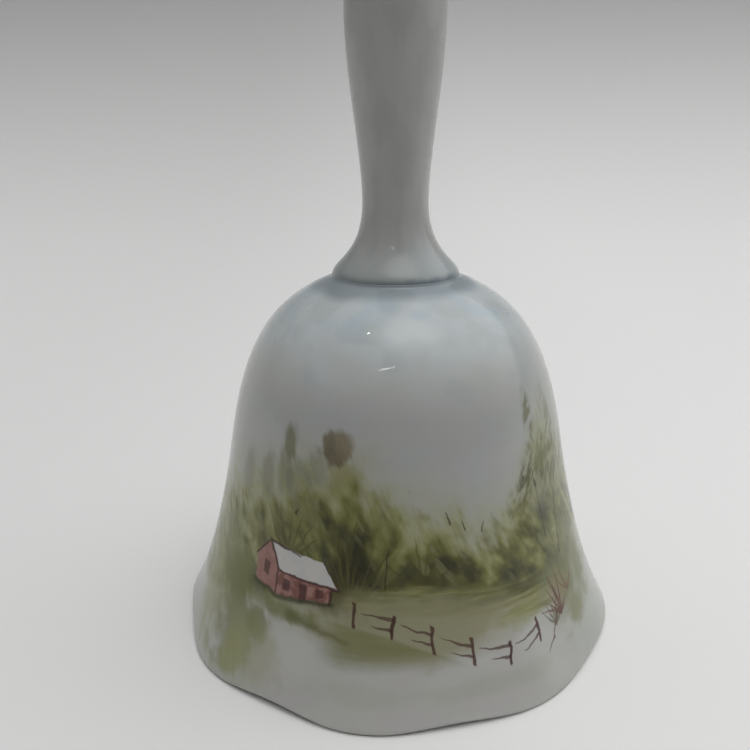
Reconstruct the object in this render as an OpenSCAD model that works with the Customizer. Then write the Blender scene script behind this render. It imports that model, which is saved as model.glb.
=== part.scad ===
// Porcelain dinner bell: a slip-cast bell and hollow handle, with a ball clapper on a short chain.
// Origin: the centre of the circle that the rim stands on. +Z runs up the handle, -Y is the painted front.

/* [Bell] */
// Mean diameter of the rim
rim_d = 82; // [76:1:88]
// Height of the crown that the handle stands on
crown_h = 64.9; // [62:0.1:68]
// Thickness of the bell's wall
wall = 2.6; // [2.2:0.1:3]
// Number of soft lobes round the rim
lobes = 8; // [6:1:10]
// How far a lobe stands out from the mean rim
lobe_rise = 0.6; // [0.2:0.1:0.9]
// How far the rim lifts between two lobes
rim_lift = 0.7; // [0.3:0.1:1]

/* [Handle] */
// Height of the whole bell, handle included
total_h = 133; // [126:1:140]
// Diameter of the handle's foot
collar_d = 22.2; // [21:0.1:23.5]
// Diameter of the neck above the foot
neck_d = 11.6; // [11:0.1:12.5]
// Diameter of the swelling that the hand holds
grip_d = 16.9; // [15:0.1:18]
// Thickness of the handle's wall
handle_wall = 2.5; // [2:0.1:2.8]

/* [Clapper] */
// Diameter of the clapper ball
ball_d = 15; // [13:0.5:16]
// Height of the ball's centre above the table
ball_z = 18.5; // [17:0.5:21]
// Diameter of the wire of the eye, the links and the pin
wire_d = 1.1; // [1:0.05:1.2]
// Radius of the wire's bends, to the middle of the wire
bend_r = 1.75; // [1.7:0.05:1.9]

/* [Hidden] */
$fn = 64;

// Outline of the bell's outer face, as two cubic curves of [radius, height]
rim_r = rim_d / 2;
lip_z = 0.013 * crown_h;
collar_r = collar_d / 2;
seat_r = collar_r + 0.2;
waist = [0.753 * rim_r, 0.537 * crown_h];
skirt_curve = [[rim_r, lip_z], [0.877 * rim_r, 0.17 * crown_h], [0.805 * rim_r, 0.354 * crown_h], waist];
shoulder_curve = [waist, [0.678 * rim_r, 0.821 * crown_h], [0.562 * rim_r, 0.932 * crown_h], [seat_r, crown_h]];
skirt_steps = 7;
shoulder_steps = 8;
lip_chamfer = 0.6;
crown_inside = crown_h - wall;

// The lobes: one points 9.5 degrees to the left of the front, and they fade out up the skirt
lobe_turn = -99.5;
lobe_fade_h = 0.3 * crown_h;
sides_per_lobe = 8;
flat_share = 0.25;

// Outline of the handle's outer face, as three cubic curves
neck_r = neck_d / 2;
grip_r = grip_d / 2;
foot_edge = 0.4;
neck_z = crown_h + 13.2;
grip_z = crown_h + 42.9;
foot_curve = [[collar_r, crown_h + foot_edge], [0.98 * collar_r, crown_h + 3], [neck_r, crown_h + 4],
              [neck_r, neck_z]];
grip_curve = [[neck_r, neck_z], [neck_r, neck_z + 8.2], [grip_r, grip_z - 9.4], [grip_r, grip_z]];
top_curve = [[grip_r, grip_z], [grip_r, total_h - 9], [0.62 * grip_r, total_h], [0, total_h]];
handle_steps = 9;

// Cement plug
crown_hole_r = 4.5;
plug_gap = 0.05;
daub_r = 7;
daub_h = 1.6;
daub_edge = [[0.55, 1], [0.85, 0.6], [1, 0]]; // shares of [daub_r, daub_h], from the middle out
plug_above_neck = 4;
plug_top = neck_z + plug_above_neck;

// Chain: each pivot is at the middle of the upper wire, and the lower wire hangs on it with a little play
wire_r = wire_d / 2;
play = 0.06;
eye_drop = 6;
pin_neck = 6.3;
link_count = 3;
eye_z = crown_inside - eye_drop;
pin_pivot_z = ball_z + ball_d / 2 + pin_neck;
link_pitch = (eye_z - pin_pivot_z) / link_count;
leg_in_plug = 9;
leg_top = crown_h + leg_in_plug;

// Ball and pin
ball_flat = 0.35;
bore_play = 0.05;
head_r = 1.3;
head_h = 0.8;

porcelain = "#e9ebe8";
plaster = "#dcd8cc";
brass = "#c2a25a";

// A point, a direction and a run of points on a cubic curve, and the same run moved inwards by a wall
function mix4(c, k) = k[0] * c[0] + k[1] * c[1] + k[2] * c[2] + k[3] * c[3];
function on_curve(c, t) = mix4(c, [pow(1 - t, 3), 3 * t * pow(1 - t, 2), 3 * t * t * (1 - t), pow(t, 3)]);
function along(c, t) = 3 * (pow(1 - t, 2) * (c[1] - c[0]) + 2 * t * (1 - t) * (c[2] - c[1]) + t * t * (c[3] - c[2]));
function inward(d) = [-d[1], d[0]] / norm(d);
function run(c, n, first = 0) = [for (i = [first:n]) on_curve(c, i / n)];
function inner_run(c, n, depth, first = 0) =
    [for (i = [first:n]) on_curve(c, i / n) + depth * inward(along(c, i / n))];
function reversed(list) = [for (i = [len(list) - 1:-1:0]) list[i]];

// Share of the lobes that is left at a height, and the lift of the rim at a lobe wave w from -1 to 1
function lobe_share(z) = pow(max(0, 1 - z / lobe_fade_h), 2);
function lift(w) = rim_lift * max(0, (1 - w) / 2 - flat_share) / (1 - flat_share);
function on_lobed(p, a, w) =
    let (k = lobe_share(p[1]), r = p[0] + lobe_rise * k * w)
    [r * cos(a), r * sin(a), p[1] + k * lift(w)];

// The bell's wall is one closed outline carried round the axis, with the lobes added to it
module bell_body() {
    outside = concat(run(skirt_curve, skirt_steps), run(shoulder_curve, shoulder_steps, 1));
    inside = concat(inner_run(skirt_curve, skirt_steps, wall, 1),
                    inner_run(shoulder_curve, shoulder_steps, wall, 1));
    outline = concat([[rim_r - lip_chamfer, 0]], outside,
                     [[crown_hole_r, crown_h], [crown_hole_r, crown_inside]], reversed(inside),
                     [[rim_r - wall, lip_z], [rim_r - wall + lip_chamfer, 0]]);
    sides = lobes * sides_per_lobe;
    count = len(outline);
    points = [for (s = [0:sides - 1], p = outline) on_lobed(p, lobe_turn + s * 360 / sides,
                                                            cos(lobes * s * 360 / sides))];
    faces = [for (s = [0:sides - 1], i = [0:count - 1])
             let (n = (s + 1) % sides, j = (i + 1) % count)
             [s * count + i, s * count + j, n * count + j, n * count + i]];
    color(porcelain) polyhedron(points, faces);
}

// Hollow from the foot to just below the top, as slip casting leaves it
module handle() {
    outside = concat([[collar_r - foot_edge, crown_h]], run(foot_curve, handle_steps),
                     run(grip_curve, handle_steps, 1), run(top_curve, handle_steps, 1));
    color(porcelain) rotate_extrude() difference() {
        polygon(concat(outside, [[0, crown_h]]));
        polygon(concat(hollow_outline(), [[0, total_h - handle_wall]]));
    }
}

// The handle's hollow, from its mouth on the crown to its top
function hollow_outline() = concat(
    [[0, crown_h - 1], [collar_r - handle_wall, crown_h - 1]],
    inner_run(foot_curve, handle_steps, handle_wall),
    inner_run(grip_curve, handle_steps, handle_wall, 1),
    inner_run(top_curve, handle_steps, handle_wall, 1));

module cement_plug() {
    color(plaster) difference() {
        union() {
            rotate_extrude() intersection() {
                polygon(concat(hollow_outline(), [[0, total_h - handle_wall]]));
                translate([0, crown_h]) square([collar_r, plug_top - crown_h]);
            }
            translate([0, 0, crown_inside - daub_h / 2])
                cylinder(h = wall + daub_h / 2, r = crown_hole_r - plug_gap);
            rotate_extrude() polygon(concat([[0, crown_inside], [0, crown_inside - daub_h]],
                                            [for (p = daub_edge) [p[0] * daub_r, crown_inside - p[1] * daub_h]]));
        }
        eye_legs();
    }
}

// A half ring of wire in the XZ plane, round the origin: below it, or above it when turned over
module half_ring() {
    rotate([90, 0, 0]) rotate_extrude(angle = 180, start = 180) translate([bend_r, 0]) circle(r = wire_r);
}

// Two parallel stretches of wire between two heights, in the XZ plane
module wire_pair(low, high) {
    for (side = [-1, 1]) translate([side * bend_r, 0, low]) cylinder(h = high - low, r = wire_r);
}

module eye_legs() { wire_pair(eye_z + bend_r, leg_top); }

module hanger_eye() {
    color(brass) union() {
        translate([0, 0, eye_z + bend_r]) half_ring();
        eye_legs();
    }
}

// Link number n hangs on the wire above it. Odd links stand in the YZ plane, even ones in the XZ plane
module chain_link(n) {
    low = eye_z - n * link_pitch + bend_r;
    high = eye_z - (n - 1) * link_pitch + wire_d + play - bend_r;
    color(brass) rotate([0, 0, 90 * (n % 2)]) union() {
        translate([0, 0, low]) half_ring();
        translate([0, 0, high]) rotate([180, 0, 0]) half_ring();
        wire_pair(low, high);
    }
}

module chain_link_1() { chain_link(1); }
module chain_link_2() { chain_link(2); }
module chain_link_3() { chain_link(3); }

module clapper_pin() {
    ring_z = pin_pivot_z + wire_d + play - bend_r;
    head_z = ball_z - ball_d / 2 + ball_flat;
    color(brass) union() {
        translate([0, 0, ring_z]) rotate([90, 0, 0]) rotate_extrude() translate([bend_r, 0]) circle(r = wire_r);
        translate([0, 0, head_z]) cylinder(h = ring_z - bend_r - head_z, r = wire_r);
        translate([0, 0, head_z - head_h]) cylinder(h = head_h, r = head_r);
    }
}

// A bead with small flats at both ends of its bore
module clapper_ball() {
    slab_h = ball_d - 2 * ball_flat;
    color(porcelain) translate([0, 0, ball_z]) difference() {
        intersection() {
            sphere(d = ball_d);
            cylinder(h = slab_h, r = ball_d, center = true);
        }
        cylinder(h = ball_d, r = wire_r + bore_play, center = true);
    }
}

bell_body();
handle();
cement_plug();
hanger_eye();
chain_link_1();
chain_link_2();
chain_link_3();
clapper_pin();
clapper_ball();
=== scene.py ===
"""Looks of the porcelain bell: painted shell, glazed handle, wire chain and bead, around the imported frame."""
import math

import bpy
import numpy as np
from mathutils import Matrix, Quaternion, Vector


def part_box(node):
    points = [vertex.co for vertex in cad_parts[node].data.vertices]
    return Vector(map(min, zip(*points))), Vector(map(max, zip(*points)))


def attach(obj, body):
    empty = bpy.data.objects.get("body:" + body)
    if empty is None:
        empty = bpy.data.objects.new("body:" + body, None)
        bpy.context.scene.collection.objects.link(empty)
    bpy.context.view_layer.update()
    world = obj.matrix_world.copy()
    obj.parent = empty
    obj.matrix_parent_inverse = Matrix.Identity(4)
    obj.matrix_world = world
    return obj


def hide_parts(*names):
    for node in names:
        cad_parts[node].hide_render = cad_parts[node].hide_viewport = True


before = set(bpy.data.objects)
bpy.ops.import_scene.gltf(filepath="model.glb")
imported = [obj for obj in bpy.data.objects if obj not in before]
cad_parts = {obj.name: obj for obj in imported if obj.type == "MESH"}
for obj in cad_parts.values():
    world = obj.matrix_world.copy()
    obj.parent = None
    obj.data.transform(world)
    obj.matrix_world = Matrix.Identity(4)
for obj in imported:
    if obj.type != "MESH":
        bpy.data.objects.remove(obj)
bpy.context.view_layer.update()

MM = 0.001
bell_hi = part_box("bell_body")[1]
handle_lo, handle_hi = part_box("handle")
plug_lo, plug_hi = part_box("cement_plug")
eye_lo, eye_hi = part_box("hanger_eye")
pin_lo, pin_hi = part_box("clapper_pin")
ball_lo, ball_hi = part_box("clapper_ball")

# Sizes in metres, from the frame. RIM is the mean radius of the lobed rim, and WIRE the radius of the wire
CROWN = handle_lo.z
TOP = handle_hi.z
RIM = 0.993 * bell_hi.x
COLLAR = handle_hi.x
WIRE = eye_hi.y
BEND = eye_hi.x - WIRE

# Sizes that the frame doesn't give. HOLE is the radius of the hole in the crown
FOOT = COLLAR + 0.25 * MM
WALL = 2.6 * MM
HANDLE_WALL = 2.5 * MM
NECK_Z = CROWN + 13.2 * MM
GRIP_Z = CROWN + 42.9 * MM
HOLE = 4.6 * MM
LOBES = 8
LOBE_RISE = 0.6 * MM
LOBE_TURN = math.radians(-9.5)
LOBE_FADE = 0.3 * CROWN
GLAZE_RISE = 0.5 * MM


# ---------------- shapes

def cubic(curve, steps, first=0):
    """Points of a cubic curve given by four corners of [radius, height]."""
    a, b, c, d = (np.array(p, float) for p in curve)
    t = np.arange(first, steps + 1)[:, None] / steps
    return (1 - t) ** 3 * a + 3 * t * (1 - t) ** 2 * b + 3 * t * t * (1 - t) * c + t ** 3 * d


def arc(centre, size, start, end, steps):
    """Points of an ellipse's arc from one angle to another, in degrees from +radius towards +height."""
    turn = np.radians(np.linspace(start, end, steps + 1))
    return np.array(centre) + np.array(size) * np.stack([np.cos(turn), np.sin(turn)], axis=1)


def inset(outline, depth):
    """The outline moved to its left by a depth, for the inner face of a wall."""
    along = np.gradient(outline, axis=0)
    along /= np.linalg.norm(along, axis=1)[:, None]
    return outline + depth * np.stack([-along[:, 1], along[:, 0]], axis=1)


def mesh_object(name, points, faces, material):
    """A smooth shaded object from points and faces."""
    mesh = bpy.data.meshes.new(name)
    mesh.from_pydata([tuple(p) for p in points], [], faces)
    mesh.validate()
    mesh.materials.append(material)
    for face in mesh.polygons:
        face.use_smooth = True
    piece = bpy.data.objects.new(name, mesh)
    bpy.context.scene.collection.objects.link(piece)
    return piece


def tube_faces(rings, sides, looped):
    """Four-sided faces between rings of points, and from the last ring to the first if they are looped."""
    faces = []
    for ring in range(rings if looped else rings - 1):
        low, high = ring * sides, (ring + 1) % rings * sides
        faces += [(low + s, low + (s + 1) % sides, high + (s + 1) % sides, high + s) for s in range(sides)]
    return faces


def capped(points, faces, sides, first, last):
    """Closes a tube's two ends with a fan round a point at each."""
    count = len(points)
    faces += [(count, (s + 1) % sides, s) for s in range(sides)]
    end = count - sides
    faces += [(count + 1, end + s, end + (s + 1) % sides) for s in range(sides)]
    return np.vstack([points, [first, last]]), faces


def revolved(name, outline, sides, material, shape=None, looped=False):
    """An outline of [radius, height] carried round the axis, anticlockwise, so that faces look out of it.
    It is looped, or starts and ends on the axis. shape moves points: it takes their angle from the front,
    radius and height, and gives a radius and a height."""
    ends = None if looped else (outline[0], outline[-1])
    ringed = outline if looped else outline[1:-1]
    angle = np.broadcast_to(np.arange(sides) * 2 * math.pi / sides, (len(ringed), sides))
    radius, height = (np.repeat(ringed[:, i, None], sides, axis=1) for i in (0, 1))
    if shape:
        radius, height = shape(angle, radius, height)
    points = np.stack([radius * np.sin(angle), -radius * np.cos(angle), height], axis=2).reshape(-1, 3)
    faces = tube_faces(len(ringed), sides, looped)
    if ends:
        points, faces = capped(points, faces, sides, (0, 0, ends[0][1]), (0, 0, ends[1][1]))
    return mesh_object(name, points, faces, material)


def wire(name, path, radius, material, sides=20):
    """A round wire along a path of points. Its radius is one number or one for each point."""
    path, radius = np.array(path, float), np.broadcast_to(radius, len(path)).astype(float)
    ahead = np.gradient(path, axis=0)
    ahead /= np.linalg.norm(ahead, axis=1)[:, None]
    side = np.cross(ahead[0], (0.3, 1.0, 0.2))
    turn = np.arange(sides) * 2 * math.pi / sides
    rings = []
    for here, forward, r in zip(path, ahead, radius):
        side = side - forward * (side @ forward)
        side /= np.linalg.norm(side)
        across = np.cross(forward, side)
        rings.append(here + r * (np.cos(turn)[:, None] * side + np.sin(turn)[:, None] * across))
    points = np.vstack(rings)
    points, faces = capped(points, tube_faces(len(path), sides, False), sides, path[0], path[-1])
    return mesh_object(name, points, faces, material)


def rounded_ends(count, radius, edge=0.7):
    """Radii along a wire whose two ends are eased a little."""
    radii = np.full(count, radius)
    radii[[0, -1]] = edge * radius
    return radii


def lobed(angle, radius, height):
    """Moves the skirt out at each lobe and lifts the rim between lobes, more on the left than the right."""
    share = np.clip(1 - height / LOBE_FADE, 0, 1) ** 2
    wave = np.cos(LOBES * (angle - LOBE_TURN))
    strength = 0.85 + 0.35 * np.cos(angle + math.radians(60))
    flat = 0.2
    lift = np.clip((1 - wave) / 2 - flat, 0, 1) / (1 - flat)
    return radius + LOBE_RISE * share * strength * wave, height + LOBE_RISE * share * strength * lift


def bell_shell(material):
    """The bell's wall, with the glaze that ran into the corner at the handle's foot."""
    seat = COLLAR + 0.2 * MM
    lip = 0.9 * MM
    waist = (0.753 * RIM, 0.537 * CROWN)
    skirt = [(RIM, lip), (0.877 * RIM, 0.17 * CROWN), (0.805 * RIM, 0.354 * CROWN), waist]
    shoulder = [waist, (0.678 * RIM, 0.821 * CROWN), (0.562 * RIM, 0.932 * CROWN), (seat, CROWN)]
    whole = np.vstack([cubic(skirt, 60), cubic(shoulder, 70, 1)])
    face = whole[whole[:, 0] > seat + 0.9 * MM]
    ahead = (face[-1] - face[-2]) / np.linalg.norm(face[-1] - face[-2])
    well = FOOT + 0.02 * MM
    run_in = cubic([face[-1], face[-1] + 0.5 * MM * ahead,
                    (well, CROWN + 0.05 * MM), (well, CROWN + GLAZE_RISE)], 10, 1)
    back = inset(whole, WALL)[::-3]
    inner = 0.7 * MM
    inner_lip = arc((RIM - WALL + inner, inner), (inner, inner), 180, 270, 5)
    outline = np.vstack([
        arc((RIM - lip, lip), (lip, lip), 270, 360, 6)[:-1], face, run_in,
        [(well, CROWN), (HOLE, CROWN), (HOLE, CROWN - WALL)], back[:-1], inner_lip])
    return revolved("painted_bell", outline, 288, material, lobed, looped=True)


def handle_shell(material):
    """The hollow handle, whose foot stands in the glaze that ran together round it."""
    neck, grip = 0.523 * COLLAR, 0.761 * COLLAR
    edge = 0.4 * MM
    foot = [(FOOT, CROWN + edge), (COLLAR, CROWN + 2.9 * MM), (neck, CROWN + 4 * MM), (neck, NECK_Z)]
    middle = [(neck, NECK_Z), (neck, NECK_Z + 8.2 * MM), (grip, GRIP_Z - 9.4 * MM), (grip, GRIP_Z)]
    top = [(grip, GRIP_Z), (grip, TOP - 9 * MM), (0.62 * grip, TOP), (0, TOP)]
    face = np.vstack([cubic(foot, 50), cubic(middle, 50, 1), cubic(top, 50, 1)])
    hollow = inset(face, HANDLE_WALL)[:-6:3][::-1]
    outline = np.vstack([
        [(0, TOP - HANDLE_WALL)], hollow, [(COLLAR - HANDLE_WALL, CROWN)],
        arc((FOOT - edge, CROWN + edge), (edge, edge), 270, 360, 10)[:-1], face])
    return revolved("glazed_handle", outline, 144, material)


def plaster_plug(material):
    """The plug in the handle's foot, and under the crown a daub pressed flat with a finger."""
    crown_inside = CROWN - WALL
    hole, daub = HOLE - 0.1 * MM, 7.0 * MM
    depth = crown_inside - plug_lo.z
    foot = COLLAR - HANDLE_WALL - 0.2 * MM
    neck = 0.5 * foot - 1.1 * MM
    ledge = crown_inside + 0.2 * MM
    outline = np.vstack([
        [(0, plug_lo.z)], arc((0, crown_inside), (daub, depth), 274, 356, 26),
        [(daub - 0.4 * MM, ledge), (hole, ledge), (hole, CROWN), (foot, CROWN)],
        [(0.9 * foot, CROWN + 1.5 * MM), (neck, NECK_Z - 4 * MM), (neck, plug_hi.z), (0, plug_hi.z)]])

    def pressed(angle, radius, height):
        """Makes the daub's edge ragged and its face dented."""
        below = np.clip((crown_inside - height) / depth, 0, 1)
        skirt = (height <= crown_inside) * (radius / daub) ** 2
        ragged = 0.05 * np.sin(2 * angle + 0.6) + 0.03 * np.sin(3 * angle + 2.1) + 0.012 * np.sin(7 * angle)
        x, y = radius * np.sin(angle) / MM, radius * np.cos(angle) / MM
        dents = 0.5 + 0.3 * np.sin(0.9 * x + 0.5 * y + 0.4) + 0.2 * np.sin(1.3 * y - 0.8 * x + 1.0)
        return radius * (1 + ragged * skirt), height + 0.22 * MM * below * dents * (radius > 2.5 * MM)

    return revolved("plaster_daub", outline, 96, material, pressed)


def in_plane(x, z):
    """Points in the XZ plane."""
    return np.stack([0 * z + x, 0 * z, z], axis=1)


def half_turn(centre_z, start, end, steps=20):
    """Points round a bend of wire in the XZ plane, in degrees from +X towards +Z."""
    ring = arc((0, centre_z), (BEND, BEND), start, end, steps)
    return in_plane(ring[:, 0], ring[:, 1])


def stretch(x, low, high, steps=8):
    """Points up a straight stretch of wire in the XZ plane."""
    return in_plane(x, np.linspace(low, high, steps))


def wire_eye(material):
    """A bent wire whose two legs are set in the plaster."""
    bend_z = eye_lo.z + WIRE + BEND
    path = np.vstack([
        stretch(-BEND, eye_hi.z, bend_z)[:-1], half_turn(bend_z, 180, 360),
        stretch(BEND, bend_z, eye_hi.z)[1:]])
    return wire("wire_eye", path, rounded_ends(len(path), WIRE), material)


def wire_link(number, material):
    """An oval link, closed where the wire's two cut ends meet halfway up one side."""
    low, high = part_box(f"chain_link_{number}")
    bottom, top = low.z + WIRE + BEND, high.z - WIRE - BEND
    middle, gap = (bottom + top) / 2, 0.05 * MM
    path = np.vstack([
        stretch(BEND, middle + gap, top, 5)[:-1], half_turn(top, 0, 180), stretch(-BEND, top, bottom)[1:-1],
        half_turn(bottom, 180, 360), stretch(BEND, bottom, middle - gap, 5)[1:]])
    if number % 2:
        path = np.stack([-path[:, 1], path[:, 0], path[:, 2]], axis=1)
    radii = rounded_ends(len(path), WIRE, 0.86)
    return wire(f"wire_link_{number}", path, radii, material)


def wire_pin(material):
    """A wire peened into a head under the bead, run up its bore and turned into an eye above it."""
    ring_z = pin_hi.z - WIRE - BEND
    head = [(0.25, 0.0), (0.8, 0.03), (1.15, 0.14), (1.3, 0.36), (1.28, 0.6), (1.1, 0.76), (0.8, 0.8)]
    head_z = np.array([h for r, h in head]) * MM + pin_lo.z
    shank_z = np.linspace(head_z[-1] + 0.02 * MM, ring_z - 3.4 * MM, 10)
    start = -60
    join = half_turn(ring_z, start, start + 1, 1)[0]
    lead = 0.6 * MM
    neck = cubic([(0, shank_z[-1]), (0, shank_z[-1] + 1.1 * MM),
                  (join[0] - lead * math.cos(math.radians(30)), join[2] - lead * math.sin(math.radians(30))),
                  (join[0], join[2])], 8, 1)
    path = np.vstack([
        in_plane(0, head_z), in_plane(0, shank_z), in_plane(neck[:, 0], neck[:, 1]),
        half_turn(ring_z, start, 240, 40)[1:]])
    radii = np.full(len(path), WIRE)
    radii[:len(head)] = [r * MM for r, h in head]
    radii[-1] = 0.75 * WIRE
    return wire("clapper_wire", path, radii, material, sides=24)


def porcelain_bead(material):
    """A bead with small flats round its bore, whose edges the glaze has softened."""
    centre = (ball_lo.z + ball_hi.z) / 2
    radius = ball_hi.x
    flat_z = ball_hi.z - centre
    bore = WIRE + 0.05 * MM
    ease = 0.3 * MM
    slope = math.degrees(math.asin(flat_z / radius)) - 2
    outer = arc((0, 0), (radius, radius), -slope, slope, 44)
    outline = np.vstack([
        arc((bore + ease, ease - flat_z), (ease, ease), 180, 270, 4), outer,
        arc((bore + ease, flat_z - ease), (ease, ease), 90, 180, 4)]) + (0, centre)
    return revolved("porcelain_bead", outline, 72, material, looped=True)


# ---------------- node helpers

class Field:
    """A number that changes over a surface: the output of a node, with plain arithmetic."""

    def __init__(self, nodes, socket):
        self.nodes = nodes
        self.socket = socket

    def __add__(self, other):
        return self.nodes.maths("ADD", self, other)

    def __sub__(self, other):
        return self.nodes.maths("SUBTRACT", self, other)

    def __mul__(self, other):
        return self.nodes.maths("MULTIPLY", self, other)

    def __rsub__(self, other):
        return self.nodes.maths("SUBTRACT", other, self)

    __radd__ = __add__
    __rmul__ = __mul__


class Nodes:
    """A tree of shader nodes. Its methods make nodes and give their outputs."""

    def __init__(self, tree):
        self.tree = tree

    def join(self, value, socket):
        """Ties an input to a node's output, or sets it to a number or a colour."""
        value = value.socket if isinstance(value, Field) else value
        if isinstance(value, bpy.types.NodeSocket):
            self.tree.links.new(value, socket)
        elif isinstance(value, tuple) and len(value) < len(socket.default_value):
            socket.default_value = (*value, 1)
        else:
            socket.default_value = value

    def node(self, kind, inputs=None, **settings):
        """Makes a node, whose inputs are given by name or place."""
        made = self.tree.nodes.new("ShaderNode" + kind)
        for name, value in settings.items():
            setattr(made, name, value)
        for place, value in (inputs or {}).items():
            self.join(value, made.inputs[place])
        return made

    def maths(self, operation, *values, **settings):
        made = self.node("Math", dict(enumerate(values)), operation=operation, **settings)
        return Field(self, made.outputs[0])

    def least(self, a, b):
        return self.maths("MINIMUM", a, b)

    def most(self, a, b):
        return self.maths("MAXIMUM", a, b)

    def vector(self, operation, *values):
        made = self.node("VectorMath", dict(enumerate(values)), operation=operation)
        return made.outputs[0]

    def rise(self, value, start, end):
        """0 up to start and 1 from end, with a smooth change between. It falls if start is above end."""
        made = self.node("MapRange", {0: value, 1: start, 2: end}, interpolation_type="SMOOTHSTEP")
        return Field(self, made.outputs[0])

    def over(self, under, colour, share):
        """A colour laid over another."""
        made = self.node("Mix", {0: share, 6: under, 7: colour}, data_type="RGBA")
        return made.outputs[2]

    def ramp(self, value, stops):
        """Colours at places from 0 to 1."""
        made = self.node("ValToRGB", {0: value})
        for _ in stops[2:]:
            made.color_ramp.elements.new(0.5)
        for element, (place, colour) in zip(made.color_ramp.elements, stops):
            element.position = place
            element.color = (*colour, 1)
        return made.outputs[0]

    def graph(self, value, points, top):
        """A smooth curve through (degrees from the front, result), for an angle in radians.
        No result is above top."""
        made = self.node("FloatCurve", {1: value * (0.5 / math.pi) + 0.5})
        curve = made.mapping.curves[0]
        places = [((degrees + 180) / 360, result / top) for degrees, result in points]
        for place, result in places[1:-1]:
            curve.points.new(place, result)
        for point, place in zip(curve.points, places):
            point.location = place
        made.mapping.update()
        return Field(self, made.outputs[0]) * top


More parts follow.
